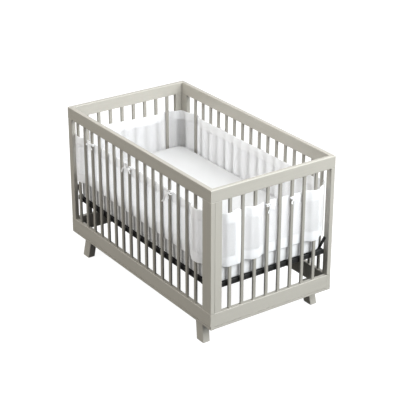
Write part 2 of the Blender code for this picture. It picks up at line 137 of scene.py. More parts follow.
# Soft folds: (side, place along it, half-width, depth into the crib at mid-height)
FOLDS = (
    ("front", -0.430, 0.060, 0.0030),
    ("front", -0.120, 0.085, 0.0042),
    ("front", 0.190, 0.070, 0.0030),
    ("front", 0.430, 0.050, 0.0022),
    ("right", 0.080, 0.055, 0.0028),
    ("back", -0.440, 0.050, 0.0045),
    ("back", -0.270, 0.045, 0.0050),
    ("back", 0.060, 0.110, 0.0040),
    ("back", 0.330, 0.080, 0.0035),
    ("left", -0.110, 0.060, 0.0040),
    ("left", 0.090, 0.070, 0.0045),
)

# Slanting drag lines in the cloth: (side, place, share of the height, length, lean, depth)
CREASES = (
    ("front", -0.330, 0.70, 0.090, 0.55, 0.0022),
    ("front", -0.010, 0.62, 0.110, -0.45, 0.0024),
    ("front", 0.360, 0.55, 0.080, 0.60, 0.0018),
    ("right", -0.020, 0.60, 0.080, -0.60, 0.0022),
    ("right", 0.100, 0.45, 0.070, 0.50, 0.0020),
    ("back", -0.480, 0.45, 0.120, 0.35, 0.0036),
    ("back", -0.400, 0.60, 0.130, -0.30, 0.0034),
    ("back", -0.320, 0.35, 0.120, 0.40, 0.0038),
    ("back", -0.230, 0.55, 0.130, -0.25, 0.0034),
    ("back", -0.130, 0.40, 0.110, 0.45, 0.0026),
    ("back", 0.120, 0.60, 0.120, -0.40, 0.0020),
    ("back", 0.420, 0.50, 0.110, 0.35, 0.0020),
    ("left", -0.160, 0.60, 0.100, 0.45, 0.0022),
    ("left", 0.030, 0.45, 0.110, -0.40, 0.0024),
)

# Ties: (side, slat, how far the knot sits along and above its usual place, angle and
# length of each loop, angle and length of each free end)
TIES = (
    ("front", 2, (0.000, 0.011), ((10, 0.040), (190, 0.042)), ((-134, 0.043), (-66, 0.028))),
    ("front", 7, (-0.010, 0.007), ((14, 0.054), (102, 0.024)), ((-145, 0.062), (-36, 0.038))),
    ("front", 12, (-0.010, 0.010), ((13, 0.058), (142, 0.028)), ((-127, 0.078), (-66, 0.034))),
    ("right", 3, (0.013, 0.000), ((-14, 0.032), (190, 0.028)), ((-112, 0.044), (-58, 0.036))),
    ("right", 5, (0.013, 0.002), ((10, 0.030), (172, 0.030)), ((-125, 0.034), (-74, 0.046))),
    ("back", 2, (0.002, 0.002), ((-8, 0.042), (184, 0.038)), ((-120, 0.044), (-66, 0.048))),
    ("back", 7, (-0.003, 0.000), ((12, 0.045), (163, 0.041)), ((-138, 0.051), (-50, 0.043))),
    ("back", 12, (0.004, 0.003), ((-12, 0.040), (176, 0.044)), ((-108, 0.046), (-48, 0.052))),
    ("left", 2, (0.003, 0.001), ((8, 0.036), (170, 0.034)), ((-122, 0.046), (-60, 0.042))),
    ("left", 5, (-0.002, 0.000), ((-10, 0.038), (182, 0.036)), ((-115, 0.044), (-50, 0.048))),
)
TIE_DROP = 0.011


class CribSizes(bpy.types.PropertyGroup):
    slat_width: FloatProperty(
        name="Slat width", description="Width of a slat along its rail", default=0.019, unit="LENGTH"
    )
    slat_depth: FloatProperty(
        name="Slat depth", description="Depth of a slat through its rail", default=0.013, unit="LENGTH"
    )
    slat_pitch: FloatProperty(
        name="Slat pitch",
        description="From the middle of one slat to the middle of the next",
        default=0.0755,
        unit="LENGTH",
    )
    slat_round: FloatProperty(
        name="Slat rounding", description="Radius of a slat's long edges", default=0.0045, unit="LENGTH"
    )
    rail_round: FloatProperty(
        name="Rail rounding", description="Radius of a rail's top edges", default=0.0045, unit="LENGTH"
    )
    joint_round: FloatProperty(
        name="Joint easing",
        description="Radius of the edges where two timbers meet",
        default=0.0012,
        unit="LENGTH",
    )
    crown: FloatProperty(
        name="Mattress crown",
        description="How far the middle of the mattress stands above its edge",
        default=0.004,
        unit="LENGTH",
    )


class LinerSizes(bpy.types.PropertyGroup):
    binding: FloatProperty(
        name="Binding height",
        description="Height of the top and bottom bindings",
        default=0.052,
        unit="LENGTH",
    )
    band: FloatProperty(
        name="End band width",
        description="Width of the bands at the panels' ends",
        default=0.036,
        unit="LENGTH",
    )
    mesh_thickness: FloatProperty(
        name="Mesh thickness", description="Thickness of the spacer mesh", default=0.002, unit="LENGTH"
    )
    puff: FloatProperty(
        name="Puff",
        description="How far the cloth stands off a slat it passes outside",
        default=0.003,
        unit="LENGTH",
    )
    ribbon: FloatProperty(
        name="Ribbon width", description="Width of the ties", default=0.008, unit="LENGTH"
    )
    hole_pitch: FloatProperty(
        name="Hole pitch",
        description="Distance between the mesh's holes",
        default=0.0034,
        unit="LENGTH",
    )


class Finishes(bpy.types.PropertyGroup):
    paint: FloatVectorProperty(
        name="Paint",
        description="Colour of the painted frame",
        subtype="COLOR",
        default=(0.355, 0.338, 0.300),
    )
    # Painted shade: the slats' paint is darkened by this factor beside the rails', standing in for the shade
    # the slats sit in between the rails
    slat_painted_shade: FloatProperty(
        name="Slat tone", description="Brightness of the slats' paint beside the rails'", default=0.80
    )
    ticking: FloatVectorProperty(
        name="Mattress cover",
        description="Colour of the mattress cover",
        subtype="COLOR",
        default=(0.60, 0.60, 0.60),
    )
    steel: FloatVectorProperty(
        name="Steel",
        description="Colour of the mattress support",
        subtype="COLOR",
        default=(0.012, 0.012, 0.012),
    )
    mesh: FloatVectorProperty(
        name="Mesh",
        description="Colour of the liner's mesh",
        subtype="COLOR",
        default=(0.86, 0.86, 0.865),
    )
    trim: FloatVectorProperty(
        name="Trim",
        description="Colour of the liner's bindings",
        subtype="COLOR",
        default=(0.89, 0.89, 0.895),
    )
    ribbon: FloatVectorProperty(
        name="Ribbon", description="Colour of the ties", subtype="COLOR", default=(0.94, 0.94, 0.945)
    )


class StageSettings(bpy.types.PropertyGroup):
    key: FloatProperty(name="Key light", description="Power of the key light", default=640.0, unit="POWER")
    overhead: FloatProperty(
        name="Overhead light", description="Power of the overhead light", default=45.0, unit="POWER"
    )
    fill: FloatProperty(name="Fill light", description="Power of the fill light", default=230.0, unit="POWER")
    sky: FloatProperty(name="Sky", description="Brightness of the room above the floor", default=0.92)
    ground: FloatProperty(name="Ground", description="Brightness of the room below", default=0.05)


# ---------------------------------------------------------------------------------------
# Materials
# ---------------------------------------------------------------------------------------


class Value:
    """A socket that can stand in a sum. Each operator adds the Math node it needs."""

    def __init__(self, finish, socket):
        self.finish = finish
        self.socket = socket

    def _sum(self, operation, first, second):
        made = self.finish.node("ShaderNodeMath", {"operation": operation}, {0: first, 1: second})
        return Value(self.finish, made.outputs[0])

    def __add__(self, other):
        return self._sum("ADD", self, other)

    def __radd__(self, other):
        return self._sum("ADD", other, self)

    def __sub__(self, other):
        return self._sum("SUBTRACT", self, other)

    def __rsub__(self, other):
        return self._sum("SUBTRACT", other, self)

    def __mul__(self, other):
        return self._sum("MULTIPLY", self, other)

    def __rmul__(self, other):
        return self._sum("MULTIPLY", other, self)

    def __truediv__(self, other):
        return self._sum("DIVIDE", self, other)

    def __mod__(self, other):
        return self._sum("FLOORED_MODULO", self, other)

    def least(self, other):
        return self._sum("MINIMUM", self, other)

    def most(self, other):
        return self._sum("MAXIMUM", self, other)

    def size(self):
        return self._sum("ABSOLUTE", self, 0.0)

    def sine(self):
        return self._sum("SINE", self, 0.0)

    def step(self, low, high):
        """0 below low, 1 above high, and smooth between."""
        made = self.finish.node(
            "ShaderNodeMapRange",
            {"interpolation_type": "SMOOTHSTEP"},
            {"Value": self, "From Min": low, "From Max": high},
        )
        return Value(self.finish, made.outputs["Result"])


class Finish:
    """A material, with its nodes added through one method."""

    def __init__(self, name):
        self.material = bpy.data.materials.new(name)
        self.material.use_nodes = True
        self.tree = self.material.node_tree
        self.shader = self.tree.nodes["Principled BSDF"]

    def fill(self, socket, value):
        if isinstance(value, Value):
            self.tree.links.new(value.socket, socket)
        elif isinstance(value, bpy.types.NodeSocket):
            self.tree.links.new(value, socket)
        elif socket.type == "RGBA" and len(value) == 3:
            socket.default_value = (*value, 1.0)
        else:
            socket.default_value = value

    def node(self, kind, settings=None, inputs=None):
        """Adds a node, sets it up, then gives its sockets their values or links."""
        made = self.tree.nodes.new(kind)
        for name, value in (settings or {}).items():
            setattr(made, name, value)
        for name, value in (inputs or {}).items():
            self.fill(made.inputs[name], value)
        return made

    def value(self, node, output=0):
        return Value(self, node.outputs[output])

    def surface(self, **settings):
        for name, value in settings.items():
            self.fill(self.shader.inputs[name.replace("_", " ").title().replace("Ior", "IOR")], value)

    def place(self, kind="Object", scale=(1, 1, 1), turn=(0, 0, 0)):
        """A point on the piece: its Object coordinates or its own UV map, scaled and turned."""
        source = self.node("ShaderNodeTexCoord").outputs[kind]
        mapping = self.node(
            "ShaderNodeMapping", None, {"Vector": source, "Scale": scale, "Rotation": turn}
        )
        return mapping.outputs["Vector"]

    def cloud(self, point, scale, detail=2.0, roughness=0.5):
        made = self.node(
            "ShaderNodeTexNoise",
            None,
            {"Vector": point, "Scale": scale, "Detail": detail, "Roughness": roughness},
        )
        return self.value(made, "Fac")

    def parts(self, point):
        made = self.node("ShaderNodeSeparateXYZ", None, {"Vector": point})
        return [self.value(made, axis) for axis in "XYZ"]

    def blend(self, share, first, second, kind="MIX"):
        """A colour between two others."""
        made = self.node(
            "ShaderNodeMix",
            {"data_type": "RGBA", "blend_type": kind},
            {"Factor": share},
        )
        self.fill(made.inputs[6], first)
        self.fill(made.inputs[7], second)
        return made.outputs[2]

    def relief(self, height, distance, strength=1.0):
        made = self.node(
            "ShaderNodeBump", None, {"Height": height, "Distance": distance, "Strength": strength}
        )
        self.fill(self.shader.inputs["Normal"], made.outputs["Normal"])

    def let_light_through(self, share, color):
        """Thin cloth glows when it is lit from behind: a share of the light goes through."""
        back = self.node("ShaderNodeBsdfTranslucent", None, {"Color": color})
        mixed = self.node(
            "ShaderNodeMixShader",
            None,
            {"Fac": share, 1: self.shader.outputs[0], 2: back.outputs[0]},
        )
        return mixed.outputs[0]

    def finish_with(self, shader):
        output = self.tree.nodes["Material Output"]
        self.fill(output.inputs["Surface"], shader)


def shade(color, factor):
    return tuple(min(1.0, part * factor) for part in color)


def satin_paint(along, piece="frame", tone=1.0):
    """Sprayed paint over hardwood, with its long grain faintly showing through."""
    # A tone below 1 darkens the whole coat: painted shade, used for the slats
    color = shade(bpy.context.scene.crib_finishes.paint, tone)
    finish = Finish(f"satin_paint_{piece}_{along}")
    stretch = {"x": (1.5, 46, 46), "y": (46, 1.5, 46), "z": (46, 46, 1.5)}[along]
    grain = finish.cloud(finish.place(scale=stretch), 1.0, 4.0, 0.62)
    pores = finish.cloud(finish.place(scale=tuple(7 * part for part in stretch)), 1.0, 2.0)
    spray = finish.cloud(finish.place(), 900.0, 1.0)
    drift = finish.cloud(finish.place(), 2.2, 2.0)
    coat = finish.blend(grain.step(0.35, 0.70), shade(color, 0.955), shade(color, 1.03))
    coat = finish.blend(drift.step(0.30, 0.75), coat, shade(color, 1.02))
    coat = finish.blend(pores.step(0.70, 0.86) * 0.35, coat, shade(color, 0.80))
    finish.surface(
        base_color=coat,
        roughness=0.34 + grain * 0.10 + spray * 0.05,
        coat_weight=0.18,
        coat_roughness=0.28,
    )
    finish.relief(grain * 0.6 + pores.step(0.62, 0.85) * -0.35 + spray * 0.12, 0.00022, 0.7)
    return finish.material


def black_steel():
    """Powder-coated steel, with the coat's fine dimples."""
    color = tuple(bpy.context.scene.crib_finishes.steel)
    finish = Finish("black_steel")
    dimples = finish.cloud(finish.place(), 1400.0, 2.0)
    scuffs = finish.cloud(finish.place(scale=(3, 3, 1)), 28.0, 5.0, 0.7)
    tone = finish.blend(scuffs.step(0.62, 0.82) * 0.5, color, shade(color, 3.2))
    finish.surface(base_color=tone, roughness=0.42 + scuffs * 0.16)
    finish.relief(dimples, 0.0002, 0.5)
    return finish.material


def weave_height(finish, point, pitch):
    """A plain weave: threads that pass over and under each other."""
    across, along, _ = finish.parts(point)
    turn = math.pi / pitch
    warp, weft = (across * turn).sine(), (along * turn).sine()
    return (warp * weft) * 0.5 + 0.5


def mattress_cover():
    """A closely woven cotton sheet."""
    color = tuple(bpy.context.scene.crib_finishes.ticking)
    finish = Finish("mattress_cover")
    weave = weave_height(finish, finish.place(), 0.0009)
    slubs = finish.cloud(finish.place(scale=(60, 900, 200)), 1.0, 2.0)
    drift = finish.cloud(finish.place(), 5.0, 3.0)
    tone = finish.blend(drift.step(0.35, 0.7), shade(color, 0.97), color)
    tone = finish.blend(slubs.step(0.62, 0.8) * 0.25, tone, shade(color, 0.93))
    finish.surface(base_color=tone, roughness=0.86, sheen_weight=0.15)
    finish.relief(weave * 0.6 + slubs * 0.6 + drift * 1.2, 0.0005, 0.5)
    return finish.material


def spacer_mesh():
    """Knitted polyester spacer mesh: rows of small round holes, staggered."""
    settings = bpy.context.scene.crib_finishes
    sizes = bpy.context.scene.liner_sizes
    color = tuple(settings.mesh)
    finish = Finish("liner_mesh")
    across, along, _ = finish.parts(finish.place("UV"))
    pitch = sizes.hole_pitch
    tall = pitch * math.sqrt(3)

    def hole_distance(shift):
        x = ((across / pitch + shift) % 1.0 - 0.5) * pitch
        y = ((along / tall + shift) % 1.0 - 0.5) * tall
        return x * x + y * y

    radius = 0.30 * pitch
    nearest = hole_distance(0.0).least(hole_distance(0.5))
    cloth = nearest.step((0.72 * radius) ** 2, (1.18 * radius) ** 2)
    yarn = finish.cloud(finish.place("UV", scale=(1500, 1500, 1)), 1.0, 2.0)
    drift = finish.cloud(finish.place("UV", scale=(9, 14, 1)), 1.0, 3.0)
    tone = finish.blend(drift.step(0.3, 0.75), shade(color, 0.96), shade(color, 1.02))
    # The holes are tinted darker than the yarn: painted shade in the holes' depth
    tone = finish.blend(cloth, shade(color, 0.90), tone)
    finish.surface(
        base_color=tone,
        roughness=0.80,
        sheen_weight=0.20,
        alpha=cloth * 0.44 + 0.56,
    )
    finish.relief(cloth * 0.8 + yarn * 0.25, 0.0006, 0.6)
    finish.finish_with(finish.let_light_through(0.70, shade(color, 1.06)))
    return finish.material


def brushed_trim(name="liner_trim", rows=(0.0050,), stitch=0.0034):
    """Brushed microfibre binding with rows of lock stitches; V is the distance from the seam."""
    color = tuple(bpy.context.scene.crib_finishes.trim)
    finish = Finish(name)
    across, along, _ = finish.parts(finish.place("UV"))
    nap = finish.cloud(finish.place("UV", scale=(420, 900, 1)), 1.0, 4.0, 0.65)
    drift = finish.cloud(finish.place("UV", scale=(12, 20, 1)), 1.0, 2.0)
    thread = None
    for row in rows:
        beside = 1.0 - ((along - row).size()).step(0.0003, 0.0008)
        dash = 1.0 - (((across / stitch) % 1.0 - 0.5).size()).step(0.30, 0.42)
        line = beside * dash
        thread = line if thread is None else thread.most(line)
    tone = finish.blend(drift.step(0.3, 0.7), shade(color, 0.975), color)
    tone = finish.blend(nap.step(0.3, 0.8) * 0.5, tone, shade(color, 0.95))
    tone = finish.blend(thread * 0.6, tone, shade(color, 1.08))
    finish.surface(base_color=tone, roughness=0.74 + nap * 0.14, sheen_weight=0.25)
    finish.relief(nap * 0.35 + thread * 1.4, 0.0005, 0.6)
    finish.finish_with(finish.let_light_through(0.52, color))
    return finish.material


def satin_ribbon():
    """Narrow woven ribbon: fine ribs across it and a firm edge."""
    color = tuple(bpy.context.scene.crib_finishes.ribbon)
    finish = Finish("tie_ribbon")
    across, along, _ = finish.parts(finish.place("UV"))
    ribs = (along * (2 * math.pi / 0.0007)).sine() * 0.5 + 0.5
    edge = ((across - 0.5).size()).step(0.40, 0.46)
    tone = finish.blend(edge, color, shade(color, 0.95))
    finish.surface(base_color=tone, roughness=0.42 + edge * 0.1, sheen_weight=0.3)
    finish.relief(ribs * 0.4 + edge, 0.0003, 0.5)
    finish.finish_with(finish.let_light_through(0.25, color))
    return finish.material


# ---------------------------------------------------------------------------------------
# Shapes
# ---------------------------------------------------------------------------------------


def keep_piece(name, shape, material, stands_for=(), smooth=38.0, weigh=False):
    """Makes the bmesh a piece of the crib, with soft shading between its hard edges."""
    mesh = bpy.data.meshes.new(name)
    shape.to_mesh(mesh)
    shape.free()
    mesh.materials.append(material)
    mesh.shade_smooth()
    mesh.set_sharp_from_angle(angle=math.radians(smooth))
    piece = bpy.data.objects.new(name, mesh)
    bpy.context.scene.collection.objects.link(piece)
    if weigh:
        modifier = piece.modifiers.new("Flat faces stay flat", "WEIGHTED_NORMAL")
        modifier.keep_sharp = True
        modifier.weight = 100
    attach(piece, "root")
    if stands_for:
        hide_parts(*stands_for)
    return piece


def ease(shape, edges, radius, segments=3):
    bmesh.ops.bevel(
        shape,
        geom=list(edges),
        offset=radius,
        offset_type="OFFSET",
        segments=segments,
        profile=0.5,
        affect="EDGES",
        material=-1,
        clamp_overlap=True,
    )


def copy_of(node):
    """The CAD node's shape as clean faces: triangles merged, and flat ones joined."""
    shape = bmesh.new()
    shape.from_mesh(frame["nodes"][node].data)
    bmesh.ops.remove_doubles(shape, verts=shape.verts, dist=0.00001)
    bmesh.ops.dissolve_limit(
        shape, angle_limit=math.radians(1.0), verts=shape.verts, edges=shape.edges
    )
    return shape


def block(shape, low, high):
    """A box between two corners; returns its vertices."""
    low, high = Vector(map(min, low, high)), Vector(map(max, low, high))
    verts = bmesh.ops.create_cube(shape, size=1.0)["verts"]
    bmesh.ops.scale(shape, vec=high - low, verts=verts)
    bmesh.ops.translate(shape, vec=(low + high) / 2, verts=verts)
    return verts


def edges_along(edges, direction):
    direction = Vector(direction)
    return [
        e
        for e in edges
        if abs((e.verts[0].co - e.verts[1].co).normalized().dot(direction)) > 0.99
    ]


class Side:
    """One side of the crib, with s along it, d inward from its outer face and z up."""

    def __init__(self, name, half, outer, across, turned):
        self.name = name
        self.half = half
        self.outer = outer
        self.across = across
        self.turned = turned
        self.count = END_SLATS if across else SIDE_SLATS
        self.shift = END_SHIFT if across else SIDE_SHIFT

    def slat(self, index):
        pitch = bpy.context.scene.crib_sizes.slat_pitch
        return self.shift + (index - (self.count - 1) / 2) * pitch

    def point(self, s, d, z):
        place = (
            Vector((self.outer - d, s, z)) if self.across else Vector((s, d - self.outer, z))
        )
        return HALF_TURN @ place if self.turned else place

    def way(self, s, d, z):
        """A direction given along, inward and up."""
        return self.point(s, d, z) - self.point(0.0, 0.0, 0.0)


SIDES = {
    "front": Side("front", LENGTH / 2, WIDTH / 2, False, False),
    "right": Side("right", WIDTH / 2, LENGTH / 2, True, False),
    "back": Side("back", LENGTH / 2, WIDTH / 2, False, True),
    "left": Side("left", WIDTH / 2, LENGTH / 2, True, True),
}


def smooth_through(points, steps):
    """A smooth line through a few points."""
    out = []
    last = len(points) - 1
    for i in range(last):
        before, a, b, after = points[max(i - 1, 0)], points[i], points[i + 1], points[min(i + 2, last)]
        for step in range(steps):
            t = step / steps
            out.append(
                0.5
                * (
                    2 * a
                    + (b - before) * t
                    + (2 * before - 5 * a + 4 * b - after) * t**2
                    + (3 * a - before - 3 * b + after) * t**3
                )
            )
    out.append(points[-1])
    return out


# ---------------------------------------------------------------------------------------
# The liner's way round the crib
# ---------------------------------------------------------------------------------------


class Route:
    """A way round the crib in plan, as points with the side and the place along it."""

    def __init__(self):
        self.points = []
        self.places = []

    def add(self, side, s, d):
        here = side.point(s, d, 0.0)
        if self.points and (here - self.points[-1]).length < 0.0005:
            return
        self.points.append(here)
        self.places.append((side.name, s, d))

    def cross(self, side, s_from, d_from, s_to, d_to):
        """An S-shaped way from one depth to another, between two slats."""
        for step in range(CROSSING_STEPS + 1):
            part = step / CROSSING_STEPS
            eased = (1 - math.cos(math.pi * part)) / 2
            self.add(side, s_from + part * (s_to - s_from), d_from + eased * (d_to - d_from))


def side_depth(name, slat):
    return OUTSIDE if slat in WOVEN[name] else INSIDE


def add_side(route, name, first, last):
    """The stretch past slats first to last of a side."""
    side = SIDES[name]
    for slat in range(first, last + 1):
        depth = side_depth(name, slat)
        after = side_depth(name, slat + 1) if slat < last else depth
        for reach in (-SLAT_CLEAR, 0.0, SLAT_CLEAR):
            route.add(side, side.slat(slat) + reach, depth)
        if slat < last:
            route.cross(
                side,
                side.slat(slat) + SLAT_CLEAR,
                depth,
                side.slat(slat + 1) - SLAT_CLEAR,
                after,
            )


def add_corner(route, name, following):
    """From outside the last slat of a side, round inside the post, to outside the next."""
    side, after = SIDES[name], SIDES[following]
    stile = 0.0 if side.across else WIDE_STILE
    bend_start = side.half - BEHIND_STILE - CORNER_RADIUS
    cross_end = min(bend_start, side.half - stile - STILE_CLEAR)
    last = side.slat(side.count - 1) + SLAT_CLEAR
    route.cross(side, last, OUTSIDE, cross_end, BEHIND_STILE)
    centre = BEHIND_STILE + CORNER_RADIUS
    for step in range(CORNER_STEPS + 1):
        angle = math.radians(90) * step / CORNER_STEPS
        along = centre - CORNER_RADIUS * math.sin(angle)
        route.add(side, side.half - along, centre - CORNER_RADIUS * math.cos(angle))
    stile = FRAME + END_STILE if after.across else NARROW_STILE
    cross_start = max(centre, stile + STILE_CLEAR) - after.half
    route.cross(after, cross_start, BEHIND_STILE, after.slat(0) - SLAT_CLEAR, OUTSIDE)


def front_route():
    """From the left end's last slat, round the front, to just short of the right's second."""
    route = Route()
    half_slat = bpy.context.scene.crib_sizes.slat_width / 2
    left, right = SIDES["left"], SIDES["right"]
    start = left.slat(END_SLATS - 2) + half_slat + 0.004
    last = left.slat(END_SLATS - 1)
    route.cross(left, start, 0.0065, last - SLAT_CLEAR, OUTSIDE)
    route.add(left, last + SLAT_CLEAR, OUTSIDE)
    add_corner(route, "left", "front")
    add_side(route, "front", 0, SIDE_SLATS - 1)
    add_corner(route, "front", "right")
    route.add(right, right.slat(0) + SLAT_CLEAR, OUTSIDE)
    end = right.slat(1) - half_slat - 0.004
    route.cross(right, right.slat(0) + SLAT_CLEAR, OUTSIDE, end, 0.0065)
    return route


def wrap_route():
    """From behind the right end's second slat, round the back, to the left end."""
    route = Route()
    half_slat = bpy.context.scene.crib_sizes.slat_width / 2
    right, left = SIDES["right"], SIDES["left"]
    start = right.slat(0) + half_slat + 0.012
    route.cross(right, start, 0.0125, right.slat(1) - SLAT_CLEAR, INSIDE)
    add_side(route, "right", 1, END_SLATS - 1)
    add_corner(route, "right", "back")
    add_side(route, "back", 0, SIDE_SLATS - 1)
    add_corner(route, "back", "left")
    add_side(route, "left", 0, END_SLATS - 2)
    end = left.slat(END_SLATS - 1) - half_slat - 0.012
    route.cross(left, left.slat(END_SLATS - 2) + SLAT_CLEAR, INSIDE, end, 0.0125)
    return route


class Panel:
    """One panel of the liner: its way round the crib, and how its cloth hangs."""

    def __init__(self, name, route, seed):
        self.name = name
        self.seed = seed
        self.resample(route)

    def resample(self, route):
        lengths = [0.0]
        for a, b in zip(route.points, route.points[1:]):
            lengths.append(lengths[-1] + (b - a).length)
        self.length = lengths[-1]
        count = round(self.length / CLOTH_STEP)
        self.points, self.places = [], []
        k = 0
        for i in range(count + 1):
            here = self.length * i / count
            while k < len(lengths) - 2 and lengths[k + 1] < here:
                k += 1
            part = (here - lengths[k]) / (lengths[k + 1] - lengths[k])
            self.points.append(route.points[k].lerp(route.points[k + 1], part))
            (name, s, d), (after, s_next, d_next) = route.places[k], route.places[k + 1]
            if after == name:
                s, d = s + part * (s_next - s), d + part * (d_next - d)
            self.places.append((name, s, d))
        for _ in range(2):
            eased = [(a + 2 * b + c) / 4 for a, b, c in zip(self.points, self.points[1:], self.points[2:])]
            self.points = [self.points[0], *eased, self.points[-1]]

    def at(self, u):
        """The point in plan, the way inward and the place, u metres along."""
        steps = len(self.points) - 1
        exact = min(max(u / self.length, 0.0), 1.0) * steps
        i = min(int(exact), steps - 1)
        part = exact - i
        before, after = self.points[max(i - 1, 0)], self.points[min(i + 2, steps)]
        a, b = self.points[i], self.points[i + 1]
        along = (b - before).lerp(after - a, part).normalized()
        inward = Vector((-along.y, along.x, 0.0))
        return a.lerp(b, part), inward, self.places[i if part < 0.5 else i + 1]

    @staticmethod
    def rises(side, s):
        start = AROUND[ORDER.index(side)]
        end = AROUND[(ORDER.index(side) + 1) % len(AROUND)]
        part = min(max((s / SIDES[side].half + 1) / 2, 0.0), 1.0)
        eased = (1 - math.cos(math.pi * part)) / 2
        return [a + eased * (b - a) for a, b in zip(RISES[start], RISES[end])]

    def swing(self, u, share, side, s, depth):
        """How far the cloth stands from its way, towards the inside of the crib."""
        swell = math.sin(math.pi * min(max(share, 0.0), 1.0))
        out = 0.0
        for name, middle, reach, most in FOLDS:
            off = abs(s - middle) / reach
            if name == side and off < 1.0:
                out += most * (1 + math.cos(math.pi * off)) / 2 * swell
        for name, middle, level, long, lean, most in CREASES:
            if name != side or abs(s - middle) > 0.12:
                continue
            up = (share - level) * 0.28
            reach = min(abs(up) / long, 1.0)
            across = (s - middle - lean * up) / 0.011
            out += most * math.exp(-across * across) * (1 + math.cos(math.pi * reach)) / 2
        soft = noise.noise(Vector((u * 11.0, share * 1.1, self.seed)))
        fine = noise.noise(Vector((u * 31.0, share * 2.6, self.seed + 5.0)))
        out += 0.0013 * (soft + 0.35) + 0.0006 * fine
        outside = min(max((0.011 - depth) / 0.007, 0.0), 1.0)
        outside = outside * outside * (3 - 2 * outside)
        puff = bpy.context.scene.liner_sizes.puff
        held = min(out, 0.0009)
        loose = max(out, -0.0007)
        return (1 - outside) * loose + outside * (held * 0.8 - puff * swell * (0.75 + 0.5 * soft))

    def place(self, u, share, lift=0.0):
        """A place on the cloth: share is 0 at its bottom edge and 1 at its top."""
        here, inward, (side, s, depth) = self.at(u)
        top, bottom = self.rises(side, s)
        tall = LINER_TOP - LINER_BOTTOM
        wave = 0.0011 * noise.noise(Vector((u * 7.0, 3.0 * round(share), self.seed + 9.0)))
        z = LINER_BOTTOM + bottom + share * (tall + top - bottom) + wave
        swing = self.swing(u, share, side, s, depth)
        return here + inward * (swing + lift) + Vector((0.0, 0.0, z))


def cloth_grid(shape, columns, rows, place, mark):
    """A grid of faces, each vertex put in its place and given its UV."""
    uv = shape.loops.layers.uv.verify()
    made = bmesh.ops.create_grid(shape, x_segments=columns, y_segments=rows, size=0.5)["verts"]
    marks = {}
    for vert in made:
        x, y = vert.co.x + 0.5, vert.co.y + 0.5
        vert.co = place(x, y)
        marks[vert] = mark(x, y)
    fresh = set(made)
    for face in shape.faces:
        if face.verts[0] in fresh:
            for loop in face.loops:
                loop[uv].uv = marks[loop.vert]


def along_profile(profile, part):
    """The point of an open line of points at a share of its count."""
    exact = part * (len(profile) - 1)
    i = min(int(exact + 1e-6), len(profile) - 2)
    part = exact - i
    return [a + part * (b - a) for a, b in zip(profile[i], profile[i + 1])]


def close_tube(shape):
    """Joins a rolled-up grid along its first and last rows and closes its two ends."""
    bmesh.ops.remove_doubles(shape, verts=shape.verts, dist=0.00001)
    open_edges = [e for e in shape.edges if e.is_boundary]
    bmesh.ops.holes_fill(shape, edges=open_edges, sides=0)
    bmesh.ops.recalc_face_normals(shape, faces=shape.faces)


def binding_profile(height, overlap):
    """Round a folded binding: (way inward, height over its seam), with a sewn dip."""
    one_side = (
        (0.00145, -overlap),
        (0.00160, 0.0020),
        (0.00165, 0.0036),
        (0.00122, 0.0050),
        (0.00168, 0.0064),
        (0.00178, 0.3 * height),
        (0.00184, 0.65 * height),
        (0.00180, height - 0.0040),
        (0.00165, height - 0.0018),
        (0.00100, height - 0.0004),
    )
    outer = [(-lift, level) for lift, level in one_side]
    return [*outer, (0.0, height), *reversed(one_side), outer[0]]


# ---------------------------------------------------------------------------------------
# Operators
# ---------------------------------------------------------------------------------------


class CRIB_OT_add_rails(bpy.types.Operator):
    """Adds the mitred top rails and the bottom rails with their plinths"""

    bl_idname = "crib.add_rails"
    bl_label = "Add Rails"

    def execute(self, context):
        sizes = context.scene.crib_sizes
        for name in ORDER:
            side = SIDES[name]
            material = satin_paint(ALONG_GRAIN[name])
            along, up = side.way(1, 0, 0), Vector((0, 0, 1))
            shape = copy_of(f"{name}_top_rail")
            long_edges = edges_along(shape.edges, along)
            high = [e for e in long_edges if e.verts[0].co.z > HEIGHT - 0.001]
            ease(shape, high, sizes.rail_round, 4)
            low = [
                e
                for e in edges_along(shape.edges, along)
                if e.verts[0].co.z < TOP_RAIL_BASE + 0.001 and len(e.link_faces) == 2
            ]
            ease(shape, low, 0.002, 3)
            keep_piece(
                f"{name}_top_rail_painted", shape, material, [f"{name}_top_rail"], weigh=True
            )
            self.add_bottom_rail(side, material, along, up)
        return {"FINISHED"}

    def add_bottom_rail(self, side, material, along, up):
        """The rail over its plinth, with a fine groove between them on the outside."""
        trim = FRAME + 0.0003 if side.across else 0.0
        reach = side.half - trim
        over, top = FOOT_HEIGHT + PLINTH, FOOT_HEIGHT + BOTTOM_RAIL
        shape = bmesh.new()
        block(shape, side.point(-reach, 0.0, FOOT_HEIGHT), side.point(reach, FRAME, top))
        for level in (over, over + GROOVE):
            bmesh.ops.bisect_plane(
                shape,
                geom=[*shape.verts, *shape.edges, *shape.faces],
                plane_co=Vector((0.0, 0.0, level)),
                plane_no=up,
            )
        outward = side.way(0, -1, 0)
        strip = [
            f
            for f in shape.faces
            if f.normal.dot(outward) > 0.9 and over < f.calc_center_median().z < over + GROOVE
        ]
        pushed = bmesh.ops.extrude_face_region(shape, geom=strip)
        verts = [g for g in pushed["geom"] if isinstance(g, bmesh.types.BMVert)]
        bmesh.ops.translate(shape, vec=outward * -GROOVE, verts=verts)
        bmesh.ops.delete(shape, geom=strip, context="FACES")
        rims = [
            e
            for e in edges_along(shape.edges, along)
            if e.verts[0].co.z > top - 0.001 or e.verts[0].co.z < FOOT_HEIGHT + 0.001
        ]
        ease(shape, rims, 0.0025, 3)
        bmesh.ops.recalc_face_normals(shape, faces=shape.faces)
        keep_piece(
            f"{side.name}_bottom_rail",
            shape,
            material,
            [f"{side.name}_slatted_rail"],
            weigh=True,
        )


